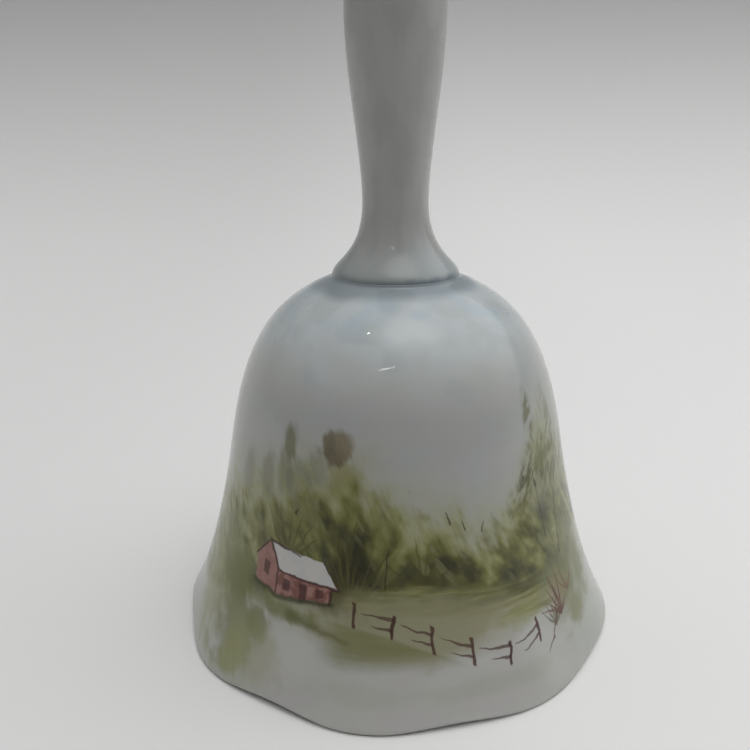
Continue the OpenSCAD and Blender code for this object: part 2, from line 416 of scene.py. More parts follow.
class Turned(Nodes):
    """Nodes with places on a turned piece, in millimetres: the angle from the front, the height, places on
    the canvas that a drum of the given radius makes (u across, v up), and textures without a seam."""

    def __init__(self, tree, drum):
        super().__init__(tree)
        self.drum = drum
        self.place = self.vector("MULTIPLY", self.node("TexCoord").outputs["Object"], (1 / MM,) * 3)
        split = self.node("SeparateXYZ", {0: self.place})
        x, y, self.height = (Field(self, s) for s in split.outputs)
        self.angle = self.maths("ARCTAN2", x, y * -1)
        around = [self.maths(f, self.angle) * drum for f in ("COSINE", "SINE")]
        self.wrapped = self.node("CombineXYZ", {0: around[0], 1: around[1], 2: self.height}).outputs[0]
        self.u = self.angle * drum
        self.v = self.height
        self.right = self.maths("SINE", self.angle)

    def use_true_places(self):
        """Makes textures follow the true shape, because places on the drum smear where a face lies flat."""
        self.wrapped = self.place

    def spot(self, degrees, height):
        """A place on the canvas."""
        return math.radians(degrees) * self.drum, height

    def grain(self, across, up, seed, twist=0.0):
        """Places for a texture with a size across and up in millimetres.
        It leans by twist degrees a millimetre."""
        place = self.wrapped
        if twist:
            turn = self.node("VectorRotate", {"Vector": place, "Angle": self.height * math.radians(twist)},
                             rotation_type="Z_AXIS")
            place = turn.outputs[0]
        shift = (17.3 * seed, 5.1 * seed, 9.7)
        return self.vector("MULTIPLY_ADD", place, (1 / across, 1 / across, 1 / up), shift)

    def cloud(self, across, up, seed, twist=0.0, detail=2.0):
        """Noise from about 0 to 1 whose patches have a size across and up."""
        grain = self.grain(across, up, seed, twist)
        made = self.node("TexNoise", {"Vector": grain, "Scale": 1.0, "Detail": detail})
        return Field(self, made.outputs[0])

    def cells(self, across, up, seed, twist=0.0, sharp=False):
        """A patchwork of dabs: the distance from each dab's middle, and a random number for each."""
        grain = self.grain(across, up, seed, twist)
        feature = "F1" if sharp else "SMOOTH_F1"
        made = self.node("TexVoronoi", {"Vector": grain, "Scale": 1.0}, feature=feature)
        split = self.node("SeparateColor", {0: made.outputs["Color"]})
        return Field(self, made.outputs["Distance"]), Field(self, split.outputs[0])

    def hand(self, wobble, size, seed):
        """Makes the canvas places that drawn shapes use wander like a hand."""
        self.u = self.angle * self.drum + (self.cloud(size, size, seed) - 0.5) * wobble
        self.v = self.height + (self.cloud(size, size, seed + 1) - 0.5) * wobble

    def away(self, centre, size):
        """Distance from a place, in units of a size across and up."""
        a = (self.u - centre[0]) * (1 / size[0])
        b = (self.v - centre[1]) * (1 / size[1])
        return self.maths("SQRT", a * a + b * b)

    def blob(self, centre, size, rough=None, soft=0.25):
        """A soft spot, with an uneven edge if rough is a field about 0."""
        distance = self.away(centre, size)
        if rough is not None:
            distance = distance + rough
        return self.rise(distance, 1 + soft, 1 - soft)

    def stroke(self, start, end, wide, narrow, soft=0.12):
        """A brush stroke between two places whose half width goes from wide to narrow."""
        dx, dy = end[0] - start[0], end[1] - start[1]
        span = dx * dx + dy * dy
        du, dv = self.u - start[0], self.v - start[1]
        along = self.maths("MULTIPLY_ADD", du, dx / span, dv * (dy / span), use_clamp=True)
        a = self.maths("MULTIPLY_ADD", along, -dx, du)
        b = self.maths("MULTIPLY_ADD", along, -dy, dv)
        inside = self.maths("MULTIPLY_ADD", along, narrow - wide, wide) - self.maths("SQRT", a * a + b * b)
        return self.rise(inside, -soft, soft)

    def strokes(self, rows, soft=0.12):
        """Several strokes as one mask."""
        mask = 0.0
        for start, end, wide, narrow in rows:
            mask = self.most(self.stroke(start, end, wide, narrow, soft), mask)
        return mask

    def inside(self, corners):
        """How far a place is inside a convex outline whose corners run anticlockwise."""
        depth = 99.0
        for (ax, ay), (bx, by) in zip(corners, corners[1:] + corners[:1]):
            size = math.hypot(bx - ax, by - ay)
            nx, ny = (ay - by) / size, (bx - ax) / size
            level = self.maths("MULTIPLY_ADD", self.v, ny, -ax * nx - ay * ny)
            depth = self.least(self.maths("MULTIPLY_ADD", self.u, nx, level), depth)
        return depth

    def chance(self, number):
        """A random number from 0 to 1 that goes with a number."""
        made = self.node("TexWhiteNoise", {1: number}, noise_dimensions="1D")
        return Field(self, made.outputs[0])

    def fan(self, base, each, reach, width, lean=0.0, bow=0.0):
        """Strokes spread upwards from a base, one each so many degrees, of random length up to a reach.
        They lean to the right by lean degrees, and bow bends them."""
        far, turn = self.polar(base)
        up = self.rise(self.maths("ABSOLUTE", turn), 1.15, 0.85)
        count = (turn + (far * -bow - math.radians(lean))) * (1 / math.radians(each))
        nearest = self.maths("ROUND", count)
        off = self.maths("ABSOLUTE", (count - nearest) * far) * math.radians(each)
        left = 1.0 - far * self.maths("DIVIDE", 1 / reach, self.chance(nearest + base[0]) * 0.7 + 0.3)
        return self.rise(left * width - off, -0.12, 0.12) * self.rise(left, 0.0, 0.15) * up

    def spray(self, base, each, along, seed):
        """Noise drawn out into strokes that spread from a base, each so many degrees wide and so long."""
        far, turn = self.polar(base)
        place = self.node("CombineXYZ", {0: turn * (1 / math.radians(each)), 1: far * (1 / along), 2: seed})
        made = self.node("TexNoise", {"Vector": place.outputs[0], "Scale": 1.0, "Detail": 1.5})
        return Field(self, made.outputs[0])

    def polar(self, base):
        """Distance from a base, and the turn from straight up, in radians."""
        du, dv = self.u - base[0], self.v - base[1]
        return self.maths("SQRT", du * du + dv * dv), self.maths("ARCTAN2", du, dv)


class Canvas(Turned):
    """The bell's outside as a canvas, with the marks of the brushes that its layers share."""

    def __init__(self, tree):
        super().__init__(tree, drum=34.0)
        self.hand(0.9, 2.2, 11)
        self.patches = self.cloud(5.5, 4.5, 6, detail=3.0)
        self.dashes = self.cloud(1.5, 5.0, 7, twist=0.7)
        self.flats = self.cloud(7.0, 0.9, 10)
        self.tops = self.edge(TREE_TOPS)

    def edge(self, table):
        """The height of one of the painting's edges, from its table."""
        return self.graph(self.angle, table, 50)

    def wait(self, colour):
        """Works out this layer's shapes after the colour under it, because a renderer can't hold those of
        all layers at once."""
        self.u = self.maths("MULTIPLY_ADD", colour, 1e-9, self.u)
        self.v = self.maths("MULTIPLY_ADD", colour, 1e-9, self.v)

    def dabs(self, under, rows, rough, veil=None):
        """Soft spots over a colour: rows of degrees, height, size across, size up, colour and share."""
        colour = under
        for degrees, height, across, up, tone, share in rows:
            mask = self.blob(self.spot(degrees, height), (across, up), rough, 0.5)
            if veil is not None:
                mask = mask * veil
            colour = self.over(colour, tone, mask * share)
        return colour

    def marks(self, rows):
        """Brush strokes as one mask: rows of degrees and height at both ends, and both half widths."""
        return self.strokes([
            (self.spot(*row[0:2]), self.spot(*row[2:4]), *row[4:6]) for row in rows])


def layer(nodes, paint, under):
    """Paints one layer over the colour under it, in a node group of its own."""
    group = bpy.data.node_groups.new(paint.__name__, "ShaderNodeTree")
    group.interface.new_socket("under", in_out="INPUT", socket_type="NodeSocketColor")
    group.interface.new_socket("painted", in_out="OUTPUT", socket_type="NodeSocketColor")
    start, end = group.nodes.new("NodeGroupInput"), group.nodes.new("NodeGroupOutput")
    canvas = Canvas(group)
    canvas.wait(start.outputs[0])
    canvas.join(paint(canvas, start.outputs[0]), end.inputs[0])
    made = nodes.node("Group", node_tree=group)
    nodes.join(under, made.inputs[0])
    return made.outputs[0]


def new_material(name):
    material = bpy.data.materials.new(name)
    material.use_nodes = True
    return material


def glaze(material, nodes, colour, relief, roughness, coat_roughness=0.05):
    """Ties a colour, a relief in millimetres and a roughness to a shader with a clear glaze over it."""
    shader = material.node_tree.nodes["Principled BSDF"]
    bump = nodes.node("Bump", {"Height": relief * MM, "Distance": 1.0, "Strength": 1.0})
    nodes.join(colour, shader.inputs["Base Color"])
    nodes.join(roughness, shader.inputs["Roughness"])
    nodes.join(bump.outputs[0], shader.inputs["Normal"])
    nodes.join(bump.outputs[0], shader.inputs["Coat Normal"])
    shader.inputs["IOR"].default_value = 1.5
    shader.inputs["Specular IOR Level"].default_value = 0.1
    shader.inputs["Coat Weight"].default_value = 0.65
    shader.inputs["Coat Roughness"].default_value = coat_roughness
    return material


# ---------------- paint on the bell

# Colours of the ground and the paint
WHITE = (0.52, 0.52, 0.495)
WHITE_GREEN = (0.49, 0.495, 0.47)
# The crown's blue is lighter than the ground partly as a painted sheen of the glaze
CROWN_BLUE_AND_SHEEN = (0.59, 0.655, 0.675)
SMEAR_BLUE = (0.46, 0.56, 0.63)
# Dark partly as painted shade in the crease at the handle's foot
POOLED_BLUE_AND_SHADE = (0.20, 0.245, 0.275)
SLATE = (0.45, 0.485, 0.495)
LILAC = (0.48, 0.47, 0.46)
# This grey is partly painted shade on the middle of the dome
GREY_AND_SHADE = (0.43, 0.435, 0.425)
SAGE = (0.39, 0.42, 0.365)
HAZE = (0.37, 0.375, 0.225)
FAR_GREEN = (0.20, 0.20, 0.12)
FAR_PALE = (0.29, 0.30, 0.17)
FAR_OLIVE = (0.27, 0.26, 0.10)
LEAF_PALE = (0.285, 0.29, 0.125)
LEAF_LIGHT = (0.19, 0.195, 0.052)
LEAF = (0.12, 0.122, 0.026)
LEAF_DARK = (0.065, 0.064, 0.013)
LEAF_DEEP = (0.026, 0.023, 0.005)
STRAW = (0.28, 0.27, 0.12)
GRASS = (0.21, 0.21, 0.065)
BROWN = (0.21, 0.175, 0.095)
BROWN_DARK = (0.12, 0.09, 0.04)
BARK = (0.10, 0.075, 0.04)
PATH = (0.285, 0.275, 0.16)
BANK = (0.195, 0.20, 0.08)
BANK_DARK = (0.11, 0.11, 0.03)
WASH = (0.29, 0.30, 0.125)
WASH_LIGHT = (0.27, 0.28, 0.11)
WASH_BROWN = (0.25, 0.24, 0.11)
WASH_OLIVE = (0.20, 0.21, 0.10)
WASH_DARK = (0.15, 0.16, 0.04)
TWIG_HAZE = (0.26, 0.19, 0.10)
TWIG_RED = (0.16, 0.065, 0.035)
TWIG = (0.13, 0.05, 0.035)
TWIG_DARK = (0.12, 0.04, 0.025)
MAROON = (0.055, 0.016, 0.013)
FENCE = (0.08, 0.035, 0.026)
PINK = (0.37, 0.19, 0.165)
PINK_DARK = (0.20, 0.075, 0.06)
ROOF = (0.60, 0.58, 0.545)
ROOF_SHADE = (0.52, 0.54, 0.54)
ASH = (0.09, 0.07, 0.05)
CLAY = (0.47, 0.44, 0.38)

# Edges of the painting as (degrees from the front, height): the wood's top and foot, the meadow's foot, and
# the line that the fence stands on
TREE_TOPS = [(-180, 17), (-115, 18), (-88, 24), (-68, 31), (-53, 33), (-37, 35.5), (-20, 38), (-8, 36.5),
             (4, 33), (14, 32), (26, 29), (33, 30), (44, 35), (56, 40), (68, 36), (86, 25), (115, 18),
             (180, 17)]
WOOD_FOOT = [(-180, 12), (-110, 12), (-72, 11), (-52, 15), (-40, 17), (-20, 19), (-10, 19.6), (2, 21.2),
             (14, 21), (32, 19.5), (46, 18), (58, 17), (70, 22), (84, 18), (110, 12), (180, 12)]
MEADOW_FOOT = [(-180, 18), (-20, 18), (-8, 17.6), (8, 16.8), (24, 15.4), (38, 14), (60, 13), (180, 12)]
FENCE_LINE = [(-180, 14), (-60, 17), (-12, 15.4), (8, 11.7), (22, 8.4), (30, 7.7), (40, 9.4), (60, 13),
              (180, 14)]


def sky_sheen_and_shade(c, under):
    """Pale blue wash round the crown, lighter than the white ground partly as a painted sheen of the glaze,
    thinning downwards into broad patches of slate, lilac and sage, with a grey band over the middle of the dome
    that is partly painted shade.
    """
    c.use_true_places()
    drift = c.cloud(12, 8, 1, detail=1.5)
    # The crown's blue wash is lighter than the white ground, partly a painted sheen of the glaze
    wash = c.rise(c.height + drift * 14 - 7, 46, 61)
    colour = c.over(under, LILAC, c.rise(drift, 0.35, 0.6) * c.rise(c.height, 58, 48) * 0.6)
    colour = c.over(colour, CROWN_BLUE_AND_SHEEN, wash * 0.75)
    patch = c.rise(c.cloud(8, 6, 3, detail=1.5), 0.46, 0.62) * c.rise(c.height, 26, 36)
    colour = c.over(colour, SLATE, patch * 0.5)
    # A grey band over the middle heights of the dome, partly painted shade
    middle = c.rise(c.height, 53, 46) * c.rise(c.height, 20, 30)
    colour = c.over(colour, GREY_AND_SHADE, middle * 0.5)
    sides = c.rise(c.maths("ABSOLUTE", c.angle + (drift - 0.5) * 0.5), 0.5, 1.15)
    sides = sides * c.rise(c.height, 58, 44)
    return c.over(colour, SAGE, sides * (c.right * 0.15 + 0.45))


def crease_blue_and_shade(c, under):
    """Blue that has run down from the handle's foot and pooled beside it, with a dark band in the crease that
    is partly pooled blue and partly painted shade.
    """
    c.use_true_places()
    ragged = (c.cloud(7, 7, 4, detail=1.0) - 0.5) * 1.2 + c.rise(c.right, 0.3, -0.65) * 0.5 + 0.5
    crown = CROWN / MM
    # A dark band round the handle's foot, partly pooled blue glaze and partly painted shade in the crease
    pool_and_shade = c.rise(c.height + ragged, crown - 1.4, crown)
    smear = c.rise(c.cloud(6, 4, 5, detail=1.0), 0.5, 0.66) * c.rise(c.height, 57, 61)
    return c.over(c.over(under, SMEAR_BLUE, smear * 0.5), POOLED_BLUE_AND_SHADE, pool_and_shade * 0.72)


def haze(c, under):
    """Pale green mist just above the trees and between them."""
    mist = c.rise(c.tops + c.patches * 10 - 5 - c.height, -9, 2) * c.rise(c.height, 10, 20)
    return c.over(under, HAZE, mist * 0.75)


def far_trees(c, under):
    """A slender tree and a round brown one on the left, and a tall leafy one on the right."""
    rough = (c.patches - 0.5) * 1.2 + (c.dashes - 0.5) * 1.2
    colour = c.dabs(under, [
        (-36.5, 42.6, 1.6, 2.9, FAR_GREEN, 0.85), (-37.5, 38, 1.9, 3.4, FAR_GREEN, 0.7),
        (-32, 37, 2.8, 3.4, FAR_GREEN, 0.6), (-45, 36.5, 1.8, 3.6, FAR_GREEN, 0.6),
        (-55, 35, 2.0, 4.0, FAR_GREEN, 0.45), (-26, 39.5, 2.0, 2.8, FAR_GREEN, 0.5),
        (-16.5, 38, 2.8, 3.2, FAR_OLIVE, 0.8)], rough)
    round_tree = c.blob(c.spot(-19.5, 43.2), (3.2, 2.5), rough * 0.7, 0.25)
    shade = c.rise(c.dashes * 0.6 + c.patches + c.height * 0.05, 3.05, 2.7)
    colour = c.over(colour, c.over(BROWN, BROWN_DARK, shade), round_tree * 0.8)
    leafy = c.rise(c.cloud(1.5, 2.4, 22, twist=-1.0), 0.40, 0.56)
    return c.dabs(colour, [
        (47.5, 45.5, 1.4, 3.6, FAR_GREEN, 0.9), (52, 41, 1.8, 3.4, FAR_PALE, 0.7),
        (60, 42, 2.4, 5.0, FAR_GREEN, 0.6), (47, 37.5, 2.8, 4.0, LEAF, 0.75),
        (42, 34, 1.8, 3.2, LEAF_DARK, 0.85), (56, 36, 3.8, 5.4, LEAF, 0.7),
        (38, 29.5, 2.6, 3.8, LEAF, 0.8), (70, 32, 3.0, 7.5, FAR_GREEN, 0.7)],
        rough, leafy * 0.8 + 0.2)


def wood(c, under):
    """The wood: soft dabs of green that spread from its foot, pale along the top and dark low down."""
    foot = c.edge(WOOD_FOOT)
    ragged = (c.patches - 0.5) * 1.4
    below_top = c.tops - c.height + (c.dashes - 0.5) * 10 + (c.patches - 0.5) * 14
    mask = c.rise(below_top, -3.0, 3.6) * c.rise(c.height - foot + ragged * 3, -1.8, 1.2)
    mask = mask * (1.0 - c.rise(c.angle, 0.62, 0.8) * c.rise(c.height, 26, 34) * 0.6)
    beyond = c.rise(c.maths("ABSOLUTE", c.angle), math.radians(112), math.radians(80))
    clumps = c.cloud(3.0, 3.6, 8, twist=0.8)
    near = c.blob(c.spot(-14, 27), (15, 14), None, 0.5)
    sprays = c.spray(c.spot(-14.5, 13), 7.5, 6.5, 5)
    leaf = (clumps - 0.5) * 1.35 + (sprays - clumps) * (near * 0.75) + (c.patches - 0.5) * 0.8
    shade = c.blob(c.spot(-15.5, 23.5), (4.6, 6.0), ragged, 0.7) * 0.30
    shade = shade + c.blob(c.spot(11.5, 25.0), (2.2, 2.6), ragged, 0.7) * 0.22
    shade = shade + c.rise(c.height - foot, 6.5, 0.0) * 0.16
    light = c.rise(below_top, 7.0, 0.0) * 0.20 + c.blob(c.spot(4, 30.5), (2.6, 2.4), ragged, 0.6) * 0.34
    light = light + c.rise(c.right, -0.5, -0.8) * 0.14
    colour = c.ramp(leaf + 0.46 - shade + light, [
        (0.12, LEAF_DEEP), (0.28, LEAF_DARK), (0.43, LEAF), (0.57, LEAF_LIGHT), (0.74, LEAF_PALE),
        (0.92, HAZE)])
    distance, chance = c.cells(1.7, 3.2, 9, twist=0.8)
    distance = distance + (clumps - 0.5) * 1.2
    tips = c.rise(distance, 0.7, 0.3) * c.rise(chance, 0.55, 0.7)
    colour = c.over(colour, LEAF_PALE, tips * 0.35)
    hollows = c.rise(distance, 0.55, 0.25) * c.rise(chance, 0.4, 0.25)
    colour = c.over(colour, LEAF_DARK, hollows * 0.25)
    return c.over(under, colour, mask * (beyond * 0.84 + 0.1))


def trunks(c, under):
    """Dark stems that spread like a fan behind the cottage, and thinner ones to either side."""
    base = c.spot(-14.5, 17.5)
    gloom = c.blob(c.spot(-14.5, 22.5), (4.4, 5.8), (c.dashes - 0.5) * 1.2, 0.6)
    colour = c.over(under, LEAF_DEEP, gloom * 0.88)
    colour = c.over(colour, LEAF_DARK, c.fan(base, 11, 19.0, 0.8, lean=-6, bow=0.012) * 0.6)
    colour = c.over(colour, LEAF_PALE, c.fan(base, 9, 17.0, 0.45, lean=2, bow=-0.01) * 0.1)
    colour = c.over(colour, BARK, c.fan(base, 17, 15.0, 0.30, lean=4, bow=-0.015) * 0.55)
    colour = c.over(colour, LEAF_DARK, c.fan(c.spot(-33, 23.0), 16, 13.0, 0.6, lean=8, bow=0.01) * 0.5)
    colour = c.over(colour, LEAF_DARK, c.fan(c.spot(6, 21.0), 15, 11.0, 0.5, lean=-8) * 0.5)
    stems = c.marks([
        (-4.5, 21.5, -3.5, 27.5, 0.14, 0.1), (14, 31.5, 13, 33.4, 0.22, 0.08),
        (18.5, 30.2, 17.6, 31.8, 0.2, 0.07), (24, 29.4, 24.4, 31.0, 0.14, 0.06),
        (-32, 31.6, -31.4, 32.2, 0.3, 0.12), (47, 33.5, 46.2, 34.8, 0.3, 0.1)])
    return c.over(colour, LEAF_DEEP, stems * 0.75)


def meadow(c, under):
    """Grass before the wood, in level strokes, dark under the trees and thin where it meets the path."""
    turn = c.angle + (c.patches - 0.5) * 0.25
    side = c.rise(turn, -0.34, -0.2) * c.rise(turn, 1.0, 0.7)
    up = c.height - c.edge(MEADOW_FOOT) + (c.flats - 0.5) * 5
    below_wood = c.rise(c.height - c.edge(WOOD_FOOT) + (c.patches - 0.5) * 4, 2.2, -0.6)
    tone = up * 0.075 + (c.flats - 0.5) * 0.9 + c.blob(c.spot(14, 19.0), (9, 2.0), None, 0.7) * 0.16
    colour = c.ramp(tone, [(0.0, STRAW), (0.14, GRASS), (0.30, LEAF), (0.5, LEAF_DARK)])
    return c.over(under, colour, c.rise(up, -0.9, 1.4) * below_wood * side * 0.92)


def washes(c, under):
    """Thin greens on the path, on the bank below the fence and down the left of the skirt."""
    rough = (c.patches - 0.5) * 1.6
    tall = (c.dashes - 0.5) * 0.7
    path = c.rise(c.away(c.spot(4, 15.5), (17, 5.5)) + rough * 0.5, 1.3, 0.6)
    colour = c.over(under, PATH, path * 0.85)
    colour = c.dabs(colour, [
        (-62, 15, 8.0, 10.0, WASH, 0.6), (-50, 11, 5.0, 7.0, WASH_DARK, 0.7), (-47, 6.4, 2.4, 3.6, WASH, 0.7),
        (-54, 18, 5.5, 4.5, WASH_DARK, 0.75), (-36, 15.4, 6.0, 1.7, WASH_DARK, 0.8),
        (-41, 12.2, 2.4, 2.6, WASH_DARK, 0.7), (-75, 12, 6.0, 8.0, WASH, 0.35),
        (-42, 7, 6.0, 5.0, WASH, 0.45)], rough + tall)
    below = c.edge(FENCE_LINE) - c.height
    deep = c.rise(c.angle, 0.33, -0.3) * 6.5 + (c.patches - 0.5) * 3
    bank = c.rise(below, -0.3, 0.4) * c.rise(below - deep, 1.2, -2.2)
    bank = bank * c.rise(c.angle + rough * 0.03, -0.42, -0.24) * c.rise(c.angle, 0.34, 0.2)
    colour = c.over(colour, BANK, bank * (c.flats * 0.5 + 0.45))
    dark = c.stroke(c.spot(-31, 15.2), c.spot(-14, 13.0), 0.7, 0.2, 0.9)
    colour = c.over(colour, BANK_DARK, dark * (c.flats * 0.7 + 0.45))
    return c.dabs(colour, [
        (34, 14.2, 4.0, 1.6, WASH_LIGHT, 0.7), (57, 9.5, 2.6, 2.4, WASH_BROWN, 0.75),
        (60, 16.5, 9.0, 8.5, WASH_OLIVE, 0.72), (54, 15, 3.4, 3.0, WASH_DARK, 0.6),
        (66, 14.5, 2.4, 5.0, WASH_DARK, 0.6), (24, 5.6, 9.0, 1.4, WASH, 0.15),
        (-8, 5.6, 8.0, 1.6, WASH, 0.12)], rough)


def cottage(c, under):
    """A small cottage with two pink walls and a pale roof, outlined in maroon."""
    left, base = c.spot(-45, 18)

    def at(x, y):
        """A place from the cottage's lower left corner. The ground under it dips a little in the middle."""
        return left + x, base + y + 0.012 * (x - 7) ** 2

    gable = [at(0.2, 0.3), at(4.8, -0.5), at(5.2, 4.2), at(2.6, 7.4), at(0.0, 4.2)]
    front = [at(4.8, -0.5), at(15.2, -0.2), at(15.4, 2.4), at(5.2, 4.0)]
    roof = [at(5.4, 3.6), at(16.4, 1.9), at(13.6, 6.2), at(3.0, 7.4)]
    door = [at(9.6, -0.3), at(11.1, -0.2), at(11.0, 2.3), at(9.6, 2.5)]
    windows = [[at(6.4, 0.9), at(7.9, 0.9), at(7.9, 2.4), at(6.4, 2.5)],
               [at(12.7, 0.6), at(14.0, 0.6), at(14.0, 1.8), at(12.7, 1.9)],
               [at(1.8, 2.0), at(3.2, 1.8), at(3.2, 4.0), at(1.9, 4.1)]]
    grass = [at(-1, -1.2), at(16, -1.6), at(17.5, 2), at(-1, 2)]
    colour = c.over(under, LEAF_DARK, c.rise(c.inside(grass), -1.4, 1.0) * 0.6)
    stain = c.rise(c.cloud(1.6, 1.6, 14), 0.35, 0.65)
    gable_pink = c.over(PINK, PINK_DARK, stain * 0.35)
    front_pink = c.over(PINK_DARK, PINK, stain)
    for wall, pink in [(gable, gable_pink), (front, front_pink)]:
        colour = c.over(colour, pink, c.rise(c.inside(wall), -0.12, 0.12) * 0.95)
    for shape in [door] + windows:
        colour = c.over(colour, MAROON, c.rise(c.inside(shape), -0.18, 0.12) * 0.8)
    shaded = c.over(ROOF, ROOF_SHADE, c.rise(c.cloud(3, 2, 15), 0.4, 0.62) * 0.6)
    colour = c.over(colour, shaded, c.rise(c.inside(roof), -0.12, 0.12))
    lines = c.strokes([
        (at(2.7, 7.7), at(5.3, 3.6), 0.28, 0.2), (at(2.8, 7.6), at(9.5, 6.8), 0.26, 0.08),
        (at(2.4, 7.3), at(-0.3, 4.0), 0.18, 0.24), (at(5.1, 3.5), at(4.9, -0.4), 0.14, 0.18),
        (at(5.4, 3.5), at(16.4, 1.8), 0.16, 0.24), (at(16.4, 1.9), at(13.7, 6.2), 0.14, 0.1),
        (at(15.3, 1.9), at(15.2, -0.4), 0.2, 0.26)])
    colour = c.over(colour, MAROON, lines * 0.88)
    ground = c.strokes([
        (at(0.2, 0.1), at(5.0, -0.8), 0.3, 0.4), (at(4.8, -0.8), at(15.6, -0.6), 0.4, 0.3)], 0.3)
    return c.over(colour, LEAF_DEEP, ground * 0.7)


def fence(c, under):
    """Posts every few degrees with two thin rails that sag and thicken towards the next post."""
    each = math.radians(10.2)
    count = (c.u * (1 / c.drum) + math.radians(12.5)) * (1 / each)
    nearest = c.maths("ROUND", count)
    here = c.maths("FLOOR", count)
    present = c.rise(count, -0.5, -0.45) * c.rise(count, 5.4, 5.35)
    off = (count - nearest) * (each * c.drum)
    chance = c.chance(nearest)
    height = c.v - c.edge(FENCE_LINE)
    lean = off + (height - 1.5) * ((chance - 0.5) * 0.22)
    size = chance * 0.9 + 3.3
    post = c.rise(c.maths("ABSOLUTE", lean) - 0.02 * height, 0.30, 0.14) * c.rise(height, -0.35, 0.0)
    post = post * c.rise(height, size + 0.2, size - 0.1)
    along = count - here
    rails = 0.0
    for level, sag, start in [(2.75, 0.75, 0.12), (1.1, 0.7, 0.4)]:
        shape = along * along * sag - along * (0.9 * sag)
        thick = c.rise(along, start, 1.0) * 0.19 + 0.05
        line = c.rise(c.maths("ABSOLUTE", height - shape - level) - thick, 0.1, -0.06)
        rails = c.most(line * c.rise(along, start, start + 0.12), rails)
    rails = rails * c.rise(count, 0.0, 0.1) * c.rise(count, 5.0, 4.98)
    colour = c.over(under, FENCE, rails * 0.8)
    return c.over(colour, c.over(MAROON, FENCE, c.rise(chance, 0.3, 0.7)), post * present * 0.92)


def bush(c, under):
    """Bare red-brown twigs at the right, with grass round them, and the thin stems of the leafy tree."""
    colour = c.over(under, TWIG_HAZE, c.blob(c.spot(50, 14), (2.6, 3.0), None, 0.7) * 0.45)
    colour = c.over(colour, LEAF_DARK, c.fan(c.spot(46, 9.5), 19, 9.0, 0.26, lean=8, bow=0.03) * 0.7)
    colour = c.over(colour, TWIG_DARK, c.fan(c.spot(49, 10.5), 17, 10.0, 0.26, lean=16, bow=-0.03) * 0.9)
    colour = c.over(colour, TWIG_RED, c.fan(c.spot(55, 13.0), 21, 7.5, 0.2, lean=-6, bow=0.03) * 0.8)
    stems = c.marks([
        (55, 20, 57, 30, 0.24, 0.14), (57, 30, 54.5, 41, 0.16, 0.06), (56.6, 28, 62, 37, 0.16, 0.05),
        (49, 24, 46, 36, 0.18, 0.06)])
    twigs = c.marks([
        (47.5, 11.6, 43.0, 8.0, 0.24, 0.1), (43.8, 8.3, 40.5, 6.6, 0.18, 0.06),
        (47, 12.0, 41, 12.6, 0.17, 0.05), (49, 13, 45.6, 17.5, 0.24, 0.05)])
    return c.over(c.over(colour, LEAF_DEEP, stems * 0.6), TWIG, twigs * 0.8)


def specks(c, under):
    """A few specks of ash that the kiln left in the glaze."""
    distance, chance = c.cells(3.0, 3.0, 21, sharp=True)
    mask = c.rise(distance, 0.075, 0.045) * c.rise(chance, 0.965, 0.97)
    return c.over(under, ASH, mask)


def painted_glaze(name):
    """Hand painting under a clear glaze outside, plain glaze inside and bare clay where the rim stands."""
    material = new_material(name)
    c = Canvas(material.node_tree)
    colour = c.over(WHITE, WHITE_GREEN, c.cloud(9, 9, 12))
    for paint in (sky_sheen_and_shade, crease_blue_and_shade, haze, far_trees, wood, trunks, meadow, washes, cottage, bush, fence,
                  specks):
        colour = layer(c, paint, colour)

    c.use_true_places()
    facing = c.node("NewGeometry").outputs["Normal"]
    outwards = c.vector("NORMALIZE", c.vector("MULTIPLY", c.place, (1, 1, 0)))
    dot = c.node("VectorMath", {0: facing, 1: outwards}, operation="DOT_PRODUCT")
    outside = c.rise(Field(c, dot.outputs["Value"]), -0.1, 0.1)
    inner = c.over((0.60, 0.60, 0.56), (0.53, 0.53, 0.49), c.rise(c.cloud(6, 10, 13), 0.45, 0.7))
    colour = c.over(inner, colour, outside)
    bare = c.rise(c.height + (c.cloud(2, 2, 16) - 0.5) * 0.5, 0.42, 0.22)
    colour = c.over(colour, CLAY, bare)
    ink = c.rise(Field(c, c.node("RGBToBW", {0: colour}).outputs[0]), 0.6, 0.1)
    roughness = ink * 0.16 + bare * 0.4 + c.cloud(3.0, 3.0, 19) * 0.06 + 0.25
    ripple = c.cloud(4.5, 4.5, 17, detail=1.0) * 0.05
    paint_relief = c.dashes * c.rise(c.tops - c.height, -3, 3) * 0.02
    return glaze(material, c, colour, ripple + paint_relief, roughness)


def white_glaze(name):
    """Plain glaze with faint blue at the foot, greyer and darker on the left and bluer on the right, a dark
    band at the foot that is partly pooled blue and partly painted shade, and two casting seams that were
    fettled nearly flat.
    """
    material = new_material(name)
    c = Turned(material.node_tree, drum=8.0)
    foot = CROWN / MM
    plain = c.over((0.465, 0.465, 0.452), (0.43, 0.43, 0.417), c.rise(c.cloud(4, 9, 31), 0.4, 0.65))
    runs = c.cloud(2.2, 7, 32)
    tint = c.rise(c.height + (runs - 0.5) * 9, foot + 9, foot + 1.5)
    # A dark band just above the foot, partly pooled blue glaze and partly painted shade where the foot meets
    # the crown
    pool_and_shade = c.rise(c.height + (runs - 0.5) * 1.6, foot + 1.8, foot + 0.5) * (c.right * 0.3 + 0.6)
    blued = c.over((0.32, 0.355, 0.35), (0.40, 0.45, 0.47), c.rise(c.right, 0.1, 0.8))
    colour = c.over(plain, blued, tint * 0.8)
    colour = c.over(colour, (0.15, 0.19, 0.225), pool_and_shade)
    seam = c.rise(c.maths("ABSOLUTE", c.maths("COSINE", c.angle)), 0.07, 0.0)
    ripple = c.cloud(3.5, 6.0, 33, detail=1.0) * 0.05
    roughness = pool_and_shade * 0.08 + c.cloud(1.2, 1.2, 35) * 0.1 + 0.24
    return glaze(material, c, colour, ripple + seam * 0.02, roughness, coat_roughness=0.12)


